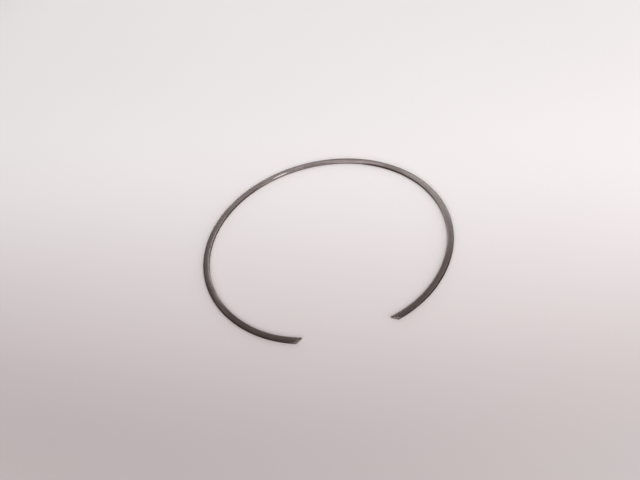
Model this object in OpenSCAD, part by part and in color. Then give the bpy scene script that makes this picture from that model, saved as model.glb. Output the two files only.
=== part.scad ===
// Snap ring without lugs: one open turn of flat spring-steel wire with rounded edges.
// It lies flat on z = 0, with its axis on Z and its gap towards -Y. Sizes are in millimetres.

/* [Ring] */
// Outer diameter of the round part, with the ring free and unloaded
ring_od = 120; // [90:1:200]
// Straight distance between the two tips, across the gap
gap_w = 40; // [20:1:50]

/* [Wire] */
// Width of the flat wire, measured along the ring's radius
wire_w = 3; // [2:0.1:6]
// Thickness of the flat wire, which is the height of the ring
wire_t = 1.2; // [0.8:0.1:3]
// Radius of the wire's four rolled edges
edge_r = 0.3; // [0.1:0.05:0.35]

/* [Ends] */
// How much tighter the two ends are bent than the round part, as a drop in radius
end_drop = 8; // [0:0.5:12]
// Slant of the end cuts from square across the wire, which leaves the inner corner the longer
cut_slant = 40; // [0:1:50]
// Width of the square flat that is left at each tip, inside the slanted cut
tip_flat = 0.3; // [0.1:0.05:0.8]

/* [Hidden] */
$fn = 180;

// The round part fills three quarters of a turn, and the gap and the two ends share the fourth
round_turn = 270;
quarter_half = (360 - round_turn) / 2;
outer_r = ring_od / 2;
// Outer and inner radius of the ends
end_outer_r = outer_r - end_drop;
end_inner_r = end_outer_r - wire_w;
// Turn of a tip from the middle of the gap, about the centre of its own end, and the rest of that turn
tip_turn = asin((gap_w / 2 - end_drop * sin(quarter_half)) / end_inner_r);
end_turn = quarter_half - tip_turn;
// Length and depth of the block that makes a slanted cut, longer than the cut at its steepest
cut_len = 3 * wire_w;
cut_depth = 2 * wire_w;

// Section of the wire in the plane of the axis, with its outer edge at radius r
module wire_section(r) {
    inner_x = r - wire_w + edge_r;
    outer_x = r - edge_r;
    translate([r - wire_w, edge_r])
        square([wire_w, wire_t - 2 * edge_r]);
    translate([inner_x, 0])
        square([wire_w - 2 * edge_r, wire_t]);
    for (x = [inner_x, outer_x], z = [edge_r, wire_t - edge_r])
        translate([x, z])
            circle(edge_r);
}

// Wire bent round Z to outer radius r, from the X axis through a turn
module bent_wire(r, turn) {
    rotate_extrude(angle = turn)
        wire_section(r);
}

// End that is tangent to the round part on the X axis and runs from there towards the gap, cut square
module drawn_in_end() {
    translate([end_drop, 0, 0])
        mirror([0, 1, 0])
            bent_wire(end_outer_r, end_turn);
}

// Block that makes the slanted cut: it starts on that square face, at the edge of the tip's flat
module slanted_cut() {
    translate([end_drop, 0, 0])
        rotate(-end_turn)
            translate([end_inner_r + tip_flat, 0, 0])
                rotate(cut_slant)
                    translate([-wire_w / 2, -cut_depth, -wire_t])
                        cube([cut_len, cut_depth, 3 * wire_t]);
}

// Copies to both sides of the gap, which is at -45 degrees while the ring is being bent
module at_both_ends() {
    children();
    mirror([1, 1, 0])
        children();
}

module retaining_ring() {
    color([0.34, 0.31, 0.29])
        rotate(-quarter_half)
            difference() {
                union() {
                    bent_wire(outer_r, round_turn);
                    at_both_ends()
                        drawn_in_end();
                }
                at_both_ends()
                    slanted_cut();
            }
}

retaining_ring();
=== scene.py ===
"""Snap ring of flat spring-steel wire, lying on a pale table top in soft studio light.

The ring is one long strip of wire: a fine mesh is swept along it and closed by two sheared ends.
Sizes are in metres, and angles in radians where no comment says degrees. The ring's gap faces the
camera, which is at -Y.
"""

from math import asin, cos, pi, radians, sin, tan

import bpy
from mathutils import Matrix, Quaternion, Vector


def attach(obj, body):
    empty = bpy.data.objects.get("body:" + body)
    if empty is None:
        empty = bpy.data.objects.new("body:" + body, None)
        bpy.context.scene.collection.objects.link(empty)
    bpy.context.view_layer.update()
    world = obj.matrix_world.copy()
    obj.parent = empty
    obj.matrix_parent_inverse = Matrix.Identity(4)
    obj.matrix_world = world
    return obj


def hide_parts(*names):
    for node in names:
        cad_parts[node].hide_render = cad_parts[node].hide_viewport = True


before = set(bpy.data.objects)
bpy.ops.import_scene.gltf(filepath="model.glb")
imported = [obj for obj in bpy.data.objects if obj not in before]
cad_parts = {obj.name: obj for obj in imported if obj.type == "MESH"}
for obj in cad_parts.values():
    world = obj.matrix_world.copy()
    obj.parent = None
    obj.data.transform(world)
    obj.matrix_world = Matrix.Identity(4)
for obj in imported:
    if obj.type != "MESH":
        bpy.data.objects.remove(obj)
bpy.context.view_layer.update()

MM = 0.001

# The ring's sizes, as in its CAD source
OUTER_RADIUS = 60 * MM
WIRE_WIDTH = 3 * MM
WIRE_THICKNESS = 1.2 * MM
EDGE_RADIUS = 0.3 * MM
GAP_WIDTH = 40 * MM
END_DROP = 8 * MM
CUT_SLANT = radians(40)
TIP_FLAT = 0.3 * MM
# Turn from the back of the ring at which each end leaves the round part
JOIN_TURN = radians(135)
# Centre of each end's own arc lies on the line to its join, and its outer radius is the drop smaller
END_OUTER = OUTER_RADIUS - END_DROP
TIP_RADIUS = END_OUTER - WIRE_WIDTH
TIP_TURN = pi - asin((GAP_WIDTH / 2 - END_DROP * sin(JOIN_TURN)) / TIP_RADIUS)

# Finish of the form that a caliper does not show: the faces' crown and the break of the cut edges
CROWN = 0.03 * MM
EDGE_BREAK = 0.06 * MM

# Mesh steps: lengths along the wire, then counts over its section
STEP = 0.5 * MM
END_LENGTH = 6 * MM
ARC_STEPS = 5
FACE_STEPS = 12
SIDE_STEPS = 6
BREAK_STEPS = 3
# Name under which each point of the mesh keeps its place on the wire, and the slots of its materials
WIRE_PLACE = "wire_place"
WIRE_SLOT = 0
CUT_SLOT = 1

# Table top: half of its side, the depths where its painted light falloff is darkest and lightest, and
# how they lean with X
TABLE_REACH = 4
FALLOFF_DEPTHS = (-167 * MM, 93 * MM)
FALLOFF_LEAN = 0.36
# It passes into the tone of the room between two distances from a point at this depth
FADE_DEPTH = 120 * MM
FADE_START = 200 * MM
FADE_END = 340 * MM

# Distance of every lamp from the ring, and the colour of its light
LAMP_DISTANCE = 1.0
WINDOW_LIGHT = (0.88, 1, 1.08)
SOFT_LIGHT = (0.95, 1, 1.04)
# Soft lamps round the ring: name, turn from the back and rise in degrees, width and height, watts
LAMPS = [
    ("back_low", 2, 12, 0.55, 0.16, 1.78),
    ("back_left_low", -40, 12, 0.5, 0.16, 1.33),
    ("window_left", -12, 33, 0.176, 0.131, 0.71),
    ("window_middle", 0, 40, 0.16, 0.113, 0.27),
    ("window_right", 12, 40, 0.16, 0.113, 0.35),
    ("window_far_right", 24, 40, 0.16, 0.113, 0.79),
    ("window_top_left", -12, 46.5, 0.144, 0.113, 0.07),
    ("window_top", 0, 46.5, 0.144, 0.113, 0.34),
    ("window_top_right", 24, 54, 0.123, 0.148, 0.35),
    ("right_low", 84, 12, 0.7, 0.3, 2.43),
    ("right_front_low", 140, 12, 1.0, 0.3, 3.0),
    ("right_front", 140, 34, 1.2, 0.6, 5.7),
    ("front_high", 180, 47, 0.8, 0.4, 4.38),
    ("left_front", 217, 27, 0.7, 0.55, 5.5),
]

# Camera: its place, the point that it aims at, how far it is turned, and its lens and sensor in mm
CAMERA_PLACE = Vector((0, -335.99 * MM, 342.79 * MM))
CAMERA_AIM = Vector((-2.59 * MM, 4.51 * MM, 0))
CAMERA_TURN = radians(-13.71)
LENS = 56.80
SENSOR_WIDTH = 36


# Form of the ring


def section_columns(inset):
    """Columns of the wire's section, from its outer to its inner side.

    Each is (in from the outer side, bottom, top).
    """
    radius = EDGE_RADIUS - inset
    columns = []
    for step in range(ARC_STEPS + 1):
        angle = step / ARC_STEPS * pi / 2
        across = inset + radius * (1 - cos(angle))
        top = WIRE_THICKNESS - inset - radius * (1 - sin(angle))
        columns.append((across, top))
    flat = WIRE_WIDTH - 2 * EDGE_RADIUS
    for step in range(1, FACE_STEPS):
        across = EDGE_RADIUS + flat * step / FACE_STEPS
        columns.append((across, WIRE_THICKNESS - inset))
    columns += [(WIRE_WIDTH - across, top) for across, top in reversed(columns[: ARC_STEPS + 1])]
    crowned = []
    for across, top in columns:
        # The faces are a little higher along their middle
        off_middle = 2 * across / WIRE_WIDTH - 1
        top -= CROWN * off_middle**2
        crowned.append((across, WIRE_THICKNESS - top, top))
    return crowned


def section_grid(inset):
    """Points (in from the outer side, height) of the section, as columns of equal length."""
    return [
        [(across, low + (high - low) * row / SIDE_STEPS) for row in range(SIDE_STEPS + 1)]
        for across, low, high in section_columns(inset)
    ]


def rim_of_grid(columns):
    """Indices (column, row) of the section's outline, in order round it."""
    last = len(columns) - 1
    under = [(column, 0) for column in range(last)]
    inner = [(last, row) for row in range(SIDE_STEPS)]
    over = [(column, SIDE_STEPS) for column in range(last, 0, -1)]
    outer = [(0, row) for row in range(SIDE_STEPS, 0, -1)]
    return under + inner + over + outer


def cut_turn(across, back):
    """Turn at which the wire ends on this line of it: square at the tip and slanted further out."""
    radius = END_OUTER - across
    corner = TIP_RADIUS + TIP_FLAT
    if radius <= corner:
        return TIP_TURN - back / radius
    slanted_off = CUT_SLANT - asin(sin(CUT_SLANT) * corner / radius)
    return TIP_TURN - slanted_off - back / cos(CUT_SLANT) / radius


def on_ring(side, turn, across, height):
    """Place of a point of the wire, on the right (side 1) or left (side -1) half of the ring."""
    drop = END_DROP if turn > JOIN_TURN else 0
    radius = OUTER_RADIUS - drop - across
    x = drop * sin(JOIN_TURN) + radius * sin(turn)
    y = drop * cos(JOIN_TURN) + radius * cos(turn)
    return side * x, y, height


def along_wire(side, turn):
    """Length along the wire's middle from the back of the ring."""
    middle = OUTER_RADIUS - WIRE_WIDTH / 2
    past_join = max(turn - JOIN_TURN, 0)
    return side * (middle * turn - END_DROP * past_join)


def half_rows():
    """Sweep rows of one half, from the back to its end: each is (inset, turn on each line across)."""
    start_of_end = TIP_TURN - END_LENGTH / END_OUTER
    count = round(start_of_end * OUTER_RADIUS / STEP)
    rows = [(0, lambda across, turn=start_of_end * row / count: turn) for row in range(count + 1)]
    end_count = round(END_LENGTH / STEP)
    for step in range(1, end_count + 1):
        share = step / end_count

        def turn_there(across, share=share):
            return start_of_end + (cut_turn(across, EDGE_BREAK) - start_of_end) * share

        rows.append((0, turn_there))
    for step in range(1, BREAK_STEPS + 1):
        angle = step / BREAK_STEPS * pi / 2
        inset = EDGE_BREAK * (1 - cos(angle))
        back = EDGE_BREAK * (1 - sin(angle))
        rows.append((inset, lambda across, back=back: cut_turn(across, back)))
    return rows


def make_ring():
    """The wire as one closed mesh. Its points carry their place on the wire for the materials."""
    points, places, faces, slots = [], [], [], []

    def add_point(side, turn, across, height):
        points.append(on_ring(side, turn, across, height))
        places.append((along_wire(side, turn), across, height))
        return len(points) - 1

    def add_face(corners, slot):
        faces.append(corners)
        slots.append(slot)

    # The long side of the wire, swept from its left end to its right one
    half = half_rows()
    rows = [(-1, *row) for row in reversed(half[1:])] + [(1, *row) for row in half]
    outline = rim_of_grid(section_columns(0))
    loops = []
    for side, inset, turn_on in rows:
        grid = section_grid(inset)
        spots = [grid[column][row] for column, row in outline]
        loops.append([add_point(side, turn_on(across), across, height) for across, height in spots])
    for before, after in zip(loops, loops[1:]):
        for index in range(len(outline)):
            following = (index + 1) % len(outline)
            corners = [before[index], before[following], after[following], after[index]]
            add_face(corners, WIRE_SLOT)

    # The two cut faces, which share the points of their rim with the long side
    for side, loop in ((-1, loops[0]), (1, loops[-1])):
        grid = section_grid(EDGE_BREAK)
        corner = dict(zip(outline, loop))
        for column, line in enumerate(grid):
            for row, (across, height) in enumerate(line):
                if (column, row) not in corner:
                    corner[column, row] = add_point(side, cut_turn(across, 0), across, height)
        for column in range(len(grid) - 1):
            for row in range(SIDE_STEPS):
                corners = [corner[column, row], corner[column + 1, row]]
                corners += [corner[column + 1, row + 1], corner[column, row + 1]]
                add_face(corners if side < 0 else corners[::-1], CUT_SLOT)

    mesh = bpy.data.meshes.new("snap_ring")
    mesh.from_pydata(points, [], faces)
    mesh.polygons.foreach_set("material_index", slots)
    mesh.polygons.foreach_set("use_smooth", [True] * len(faces))
    place = mesh.attributes.new(WIRE_PLACE, "FLOAT_VECTOR", "POINT")
    place.data.foreach_set("vector", [number for point in places for number in point])
    mesh.update()
    ring = bpy.data.objects.new("snap_ring", mesh)
    bpy.context.scene.collection.objects.link(ring)
    return ring


# Tools for the finishes


class Signal:
    """A socket of a finish. Sums written on it in Python add Math nodes."""

    def __init__(self, finish, socket):
        self.finish = finish
        self.socket = socket

    def math(self, operation, *values):
        """Adds a Math node on signals and numbers."""
        return self.finish.node("ShaderNodeMath", {"operation": operation}, dict(enumerate(values)))

    def __add__(self, other):
        return self.math("ADD", self, other)

    def __sub__(self, other):
        return self.math("SUBTRACT", self, other)

    def __rsub__(self, other):
        return self.math("SUBTRACT", other, self)

    def __mul__(self, other):
        return self.math("MULTIPLY", self, other)

    def __abs__(self):
        return self.math("ABSOLUTE", self)

    __radd__ = __add__
    __rmul__ = __mul__

    def least(self, other):
        """The smaller of the two at each point."""
        return self.math("MINIMUM", self, other)

    def most(self, other):
        """The larger of the two at each point."""
        return self.math("MAXIMUM", self, other)

    def ramp(self, start, end):
        """0 below start and 1 above end, smooth between them. With start above end it falls."""
        return self.finish.node(
            "ShaderNodeMapRange",
            {"interpolation_type": "SMOOTHSTEP"},
            {"Value": self, "From Min": start, "From Max": end},
        )

    def near(self, place, start, end):
        """0 beyond the distance start from a place and 1 within the distance end."""
        off = self - place
        return (off * off).ramp(start**2, end**2)


class Finish:
    """A material, or the world, while its nodes are being added."""

    def __init__(self, owner):
        self.owner = owner
        owner.use_nodes = True
        self.nodes = owner.node_tree.nodes
        self.links = owner.node_tree.links
        self.nodes.clear()

    def node(self, kind, settings, sockets, output=0):
        """Adds a node: its settings are set first, then its sockets by value or by link."""
        made = self.nodes.new(kind)
        for name, setting in settings.items():
            setattr(made, name, setting)
        for name, given in sockets.items():
            if isinstance(given, Signal):
                self.links.new(given.socket, made.inputs[name])
            else:
                made.inputs[name].default_value = given
        return Signal(self, made.outputs[output]) if made.outputs else None

    def mix(self, share, first, second):
        """Colour between first and second, where a share of 1 gives the second."""
        sockets = {"Factor": share, 6: first, 7: second}
        return self.node("ShaderNodeMix", {"data_type": "RGBA"}, sockets, 2)

    def shade(self, paint, level):
        """Colour made lighter or darker by a level round 1."""
        grey = self.node("ShaderNodeCombineColor", {}, {0: level, 1: level, 2: level})
        settings = {"data_type": "RGBA", "blend_type": "MULTIPLY"}
        return self.node("ShaderNodeMix", settings, {"Factor": 1, 6: paint, 7: grey}, 2)

    def wire_place(self):
        """Place on the wire: along it from the back, in from its outer side, and height."""
        return self.node("ShaderNodeAttribute", {"attribute_name": WIRE_PLACE}, {}, "Vector")

    def axis(self, place, name):
        """One axis of a place."""
        return self.node("ShaderNodeSeparateXYZ", {}, {0: place}, name)

    def noise(self, place, outer_side, detail=2, roughness=0.5):
        """Noise from 0 to 1 with its own scale along each axis, in turns per metre."""
        scaled = self.node("ShaderNodeVectorMath", {"operation": "MULTIPLY"}, {0: place, 1: outer_side})
        sockets = {"Vector": scaled, "Scale": 1, "Detail": detail, "Roughness": roughness}
        return self.node("ShaderNodeTexNoise", {}, sockets)

    def bump(self, height, depth):
        """Normal of a surface whose height goes from 0 to a depth in metres."""
        return self.node("ShaderNodeBump", {}, {"Height": height, "Distance": depth})

    def surface(self, sockets):
        """Closes the material with a Principled shader."""
        shader = self.node("ShaderNodeBsdfPrincipled", {}, sockets)
        self.node("ShaderNodeOutputMaterial", {}, {"Surface": shader})
        return self.owner


def colour(red, green, blue):
    """Colour as a socket takes it, with its fourth part at 1."""
    return red, green, blue, 1


# Steel of the ring


# Scales of the steel's grain in turns per metre: along the wire, across it and up its height
DRAWN_LINES = (40, 9000, 9000)
BROAD_LINES = (15, 1600, 1600)
FILM_CLOUDS = (70, 260, 260)
STAIN_CLOUDS = (28, 120, 120)
WEAR_SPOTS = (160, 700, 700)
# The same on the cut ends
BAND_WANDER = (900, 900, 0)
BREAK_GRAIN = (14000, 14000, 14000)
SHEAR_STROKES = (9000, 9000, 500)
# Depths of that grain
LINE_DEPTH = 0.003 * MM
BREAK_DEPTH = 0.02 * MM

# Colours of the wire, from its dark films and painted end shade to bare steel and painted highlights
TEMPERED = colour(0.081, 0.063, 0.057)
BROWN_FILM = colour(0.062, 0.045, 0.039)
OIL_STAIN = colour(0.068, 0.055, 0.048)
END_SHADE = colour(0.044, 0.030, 0.025)
WORN_EDGE = colour(0.142, 0.121, 0.110)
ROLLED_CORNER = colour(0.20, 0.18, 0.165)
GLINT_PAINT = colour(0.227, 0.198, 0.186)
STREAK_PAINT = colour(0.28, 0.262, 0.248)
# Colours of the cut ends: their smooth band and the break below it
SHEARED_BAND = colour(0.38, 0.367, 0.345)
SHEARED_BREAK = colour(0.31, 0.299, 0.278)
# Tint of the steel's reflection at a low angle
LOW_ANGLE_TINT = colour(0.60, 0.60, 0.62)

# In each pair of lengths below, a mark is still nothing at the first and full at the second

# Across the wire, as lengths in from its outer side
OUTER_WALL = (1.6 * EDGE_RADIUS, 0.4 * EDGE_RADIUS)
INNER_EDGE = (WIRE_WIDTH - 1.4 * EDGE_RADIUS, WIRE_WIDTH - 0.6 * EDGE_RADIUS)
INNER_WALL = (WIRE_WIDTH - 0.7 * EDGE_RADIUS, WIRE_WIDTH - 0.1 * EDGE_RADIUS)
INNER_HALF = (0.3 * WIRE_WIDTH, 0.95 * WIRE_WIDTH)
STREAK_FROM = (2.35 * MM, 2.55 * MM)
STREAK_TO = (2.85 * MM, 2.65 * MM)
ROLLED_WIDTH = (2.4 * MM, 1.2 * MM)
# On a rounded edge, which is near a side and a face at once, and up from the table
EDGE_MIDDLE = (EDGE_RADIUS, 0.3 * EDGE_RADIUS)
OFF_TABLE = (0.15 * WIRE_THICKNESS, 0.45 * WIRE_THICKNESS)
# Along the wire, as lengths from the back, which are below 0 on the left
NEAR_BACK = (34 * MM, 24 * MM)
RIGHT_OF_BACK = (0, 10 * MM)
LEFT_SIDE = (-55 * MM, -80 * MM)
ENDS = (108 * MM, 124 * MM)
# The sides are measured from a point a little right of the back
SIDES_MIDDLE = 10 * MM
SIDES = (52 * MM, 76 * MM)
# Two places near the back carry a painted highlight, each at a distance from a point between them
GLINT_MIDDLE = 2 * MM
GLINT_DISTANCE = 20 * MM
GLINT_LENGTH = (10 * MM, 4 * MM)
# A short stretch left of the back carries a painted highlight streak
STREAK_SPOT = -15.5 * MM
STREAK_LENGTH = (5 * MM, 2.5 * MM)
# At the cuts: the length from the back to a tip, and lengths back from the slanted cut
TIP_ALONG = along_wire(1, TIP_TURN)
ROLLED_LENGTH = (1.1 * MM, 0.5 * MM)
# On the cut faces: the heights where the smooth band ends, and how far that line wanders
BAND_END = (0.95 * MM, 0.8 * MM)
WANDER_HEIGHT = 0.25 * MM


def spring_steel():
    """Drawn and tempered wire: dark brown-grey steel with lines along it, brighter worn edges, painted
    highlights and painted shade.
    """
    steel = Finish(bpy.data.materials.new("drawn_spring_steel"))
    place = steel.wire_place()
    along, across, height = [steel.axis(place, name) for name in "XYZ"]

    drawn_lines = steel.noise(place, DRAWN_LINES, 3, 0.6)
    broad_lines = steel.noise(place, BROAD_LINES)
    film = steel.noise(place, FILM_CLOUDS, 3, 0.55).ramp(0.42, 0.62)
    stain = steel.noise(place, STAIN_CLOUDS).ramp(0.5, 0.68)

    # The rounded edges are worn in spots
    from_side = across.least(WIRE_WIDTH - across)
    from_face = height.least(WIRE_THICKNESS - height)
    edge = from_side.most(from_face).ramp(*EDGE_MIDDLE)
    wear = edge * steel.noise(place, WEAR_SPOTS, 3, 0.6).ramp(0.5, 0.64)
    # The outer side is darker than the faces
    outer_side = across.ramp(*OUTER_WALL)
    # The inner edge carries a painted highlight at two places near the back
    glint_spots = abs(along - GLINT_MIDDLE).near(GLINT_DISTANCE, *GLINT_LENGTH)
    # Between them the inner side alone, and not the rounded edge above it, carries a painted reflection
    wall_sheen = across.ramp(*INNER_WALL) * abs(along).ramp(*NEAR_BACK)
    painted_glint = (across.ramp(*INNER_EDGE) * glint_spots).most(0.85 * wall_sheen) * (0.6 + 0.5 * broad_lines)
    painted_glint = painted_glint * height.ramp(*OFF_TABLE)
    # A short stretch of the top beside that edge carries a painted highlight streak
    glint_streak = along.near(STREAK_SPOT, *STREAK_LENGTH) * across.ramp(*STREAK_FROM) * across.ramp(*STREAK_TO)
    # The shear rolled the top's outer corner over at the cuts, which left it brighter
    to_cut = TIP_ALONG - abs(along) - (WIRE_WIDTH - across) * tan(CUT_SLANT)
    rolled = to_cut.ramp(*ROLLED_LENGTH) * across.ramp(*ROLLED_WIDTH)

    # The sides carry a painted reflection, brighter toward the inner edge, and a painted shade outward
    # of it on the left
    half = across.ramp(*INNER_HALF)
    ends = abs(along).ramp(*ENDS)
    left = along.ramp(*LEFT_SIDE)
    sides = abs(along - SIDES_MIDDLE).ramp(*SIDES)
    side_sheen = half * sides * (1 - ends) * (0.28 + 0.22 * left)
    side_shade = 0.1 * left * (1 - half) * (1 - ends)
    # The painted highlight on the right is a little brighter over the whole width of the wire
    painted_light_level = 1 + side_sheen - side_shade + 0.18 * glint_spots * along.ramp(*RIGHT_OF_BACK)

    tempered = steel.mix(film, TEMPERED, BROWN_FILM)
    oiled = steel.mix(stain * 0.6, tempered, OIL_STAIN)
    lines = 0.86 + 0.16 * drawn_lines + 0.12 * broad_lines
    lined = steel.shade(oiled, lines * (1 - 0.5 * outer_side) * painted_light_level)
    # The ends are painted darker and browner, a painted shade, most of all on their inner half and on
    # the left
    end_shaded = steel.mix(ends * (0.15 + (0.5 + 0.4 * left) * half), lined, END_SHADE)
    worn = steel.mix(wear * 0.3, end_shaded, WORN_EDGE)
    # Painted highlights near the back, then a painted highlight streak beside them
    base = steel.mix(painted_glint, worn, GLINT_PAINT)
    base = steel.mix(glint_streak, base, STREAK_PAINT)
    base = steel.mix(rolled * 0.45, base, ROLLED_CORNER)
    return steel.surface({
        "Base Color": base,
        "Metallic": 1,
        "Specular Tint": LOW_ANGLE_TINT,
        "Roughness": 0.16 + 0.05 * film + 0.04 * drawn_lines - 0.04 * wear + 0.2 * outer_side,
        "Normal": steel.bump(drawn_lines * 0.7 + broad_lines * 0.3, LINE_DEPTH),
    })


def sheared_steel():
    """Bare steel of the cut ends: a smooth band at the top and a rougher break below it."""
    steel = Finish(bpy.data.materials.new("sheared_steel"))
    place = steel.wire_place()
    wander = steel.noise(place, BAND_WANDER) * WANDER_HEIGHT
    broken = (steel.axis(place, "Z") + wander).ramp(*BAND_END)
    grain = steel.noise(place, BREAK_GRAIN, 3, 0.6)
    strokes = steel.noise(place, SHEAR_STROKES)
    return steel.surface({
        "Base Color": steel.shade(steel.mix(broken, SHEARED_BAND, SHEARED_BREAK), 0.82 + 0.3 * grain),
        "Metallic": 1,
        "Roughness": 0.3 + 0.2 * broken,
        "Normal": steel.bump(strokes * (1 - broken) * 0.4 + grain * broken, BREAK_DEPTH),
    })


# Table, lamps and camera


# Tone of the room where it is seen, and the light that it gives apart from its lamps
ROOM_TONE = colour(0.64, 0.60, 0.59)
ROOM_LIGHT = colour(0.01, 0.01, 0.01)
# Colours of the table near the viewer and further back, which paint the light's falloff, and the scale
# of its faint clouds
TABLE_FRONT = colour(0.895, 0.737, 0.713)
TABLE_BACK = colour(0.839, 0.745, 0.709)
TABLE_CLOUDS = (14, 14, 14)
BLACK = colour(0, 0, 0)


def make_table():
    """Pale table top under the ring."""
    signs = ((-1, -1), (1, -1), (1, 1), (-1, 1))
    corners = [(x * TABLE_REACH, y * TABLE_REACH, 0) for x, y in signs]
    mesh = bpy.data.meshes.new("table_top")
    mesh.from_pydata(corners, [], [(0, 1, 2, 3)])
    top = bpy.data.objects.new("table_top", mesh)
    bpy.context.scene.collection.objects.link(top)
    pale = Finish(bpy.data.materials.new("pale_laminate"))
    place = pale.node("ShaderNodeTexCoord", {}, {}, "Object")
    x, y = [pale.axis(place, name) for name in "XY"]
    cloud = pale.noise(place, TABLE_CLOUDS)
    # The table is painted a little darker and pinker toward the viewer, and more so on the left: a
    # painted falloff of the light
    back = (y + FALLOFF_LEAN * x).ramp(*FALLOFF_DEPTHS)
    tint = pale.mix(back, TABLE_FRONT, TABLE_BACK)
    lit = pale.shade(tint, (0.455 + 0.59 * back) * (1.01 - 0.02 * cloud))
    # Away from the ring it passes into the even tone of the room, soonest toward the viewer
    behind = y - FADE_DEPTH
    away = (x * x + behind * behind).ramp(FADE_START**2, FADE_END**2)
    mesh.materials.append(pale.surface({
        "Base Color": pale.mix(away, lit, BLACK),
        "Emission Color": pale.mix(away, BLACK, ROOM_TONE),
        "Emission Strength": 1,
        "Specular IOR Level": 0,
    }))
    return top


def make_lamp(name, turn, rise, width, height, power):
    """Soft rectangular lamp that faces the ring and is not seen itself. A window's light is cooler."""
    turn, rise = radians(turn), radians(rise)
    place = LAMP_DISTANCE * Vector((sin(turn) * cos(rise), cos(turn) * cos(rise), sin(rise)))
    light = bpy.data.lights.new(name, "AREA")
    light.shape = "RECTANGLE"
    light.size = width
    light.size_y = height
    light.energy = power
    light.color = WINDOW_LIGHT if name.startswith("window") else SOFT_LIGHT
    lamp = bpy.data.objects.new(name, light)
    lamp.location = place
    lamp.rotation_mode = "QUATERNION"
    lamp.rotation_quaternion = (-place).to_track_quat("-Z", "Y")
    lamp.visible_camera = False
    bpy.context.scene.collection.objects.link(lamp)


def light_room():
    """Room round the lamps: pale where the camera or the steel sees it, and nearly dark as a light."""
    world = bpy.data.worlds.new("room")
    bpy.context.scene.world = world
    room = Finish(world)
    rays = ("Is Camera Ray", "Is Glossy Ray", "Is Transmission Ray")
    camera, glossy, through = [room.node("ShaderNodeLightPath", {}, {}, ray) for ray in rays]
    seen = (camera + glossy + through).least(1)
    shown = room.mix(seen, ROOM_LIGHT, ROOM_TONE)
    background = room.node("ShaderNodeBackground", {}, {"Color": shown, "Strength": 1})
    room.node("ShaderNodeOutputWorld", {}, {"Surface": background})


def make_camera():
    """Camera half a metre away, held a little turned, as when a small object is photographed by hand."""
    data = bpy.data.cameras.new("camera")
    data.lens = LENS
    data.sensor_width = SENSOR_WIDTH
    camera = bpy.data.objects.new("camera", data)
    camera.location = CAMERA_PLACE
    camera.rotation_mode = "QUATERNION"
    facing = (CAMERA_AIM - CAMERA_PLACE).to_track_quat("-Z", "Y")
    camera.rotation_quaternion = facing @ Quaternion((0, 0, 1), CAMERA_TURN)
    bpy.context.scene.collection.objects.link(camera)
    bpy.context.scene.camera = camera


ring = make_ring()
ring.data.materials.append(spring_steel())
ring.data.materials.append(sheared_steel())
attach(ring, "root")
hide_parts("retaining_ring")

make_table()
light_room()
for lamp in LAMPS:
    make_lamp(*lamp)
make_camera()
bpy.context.scene.view_settings.view_transform = "Standard"
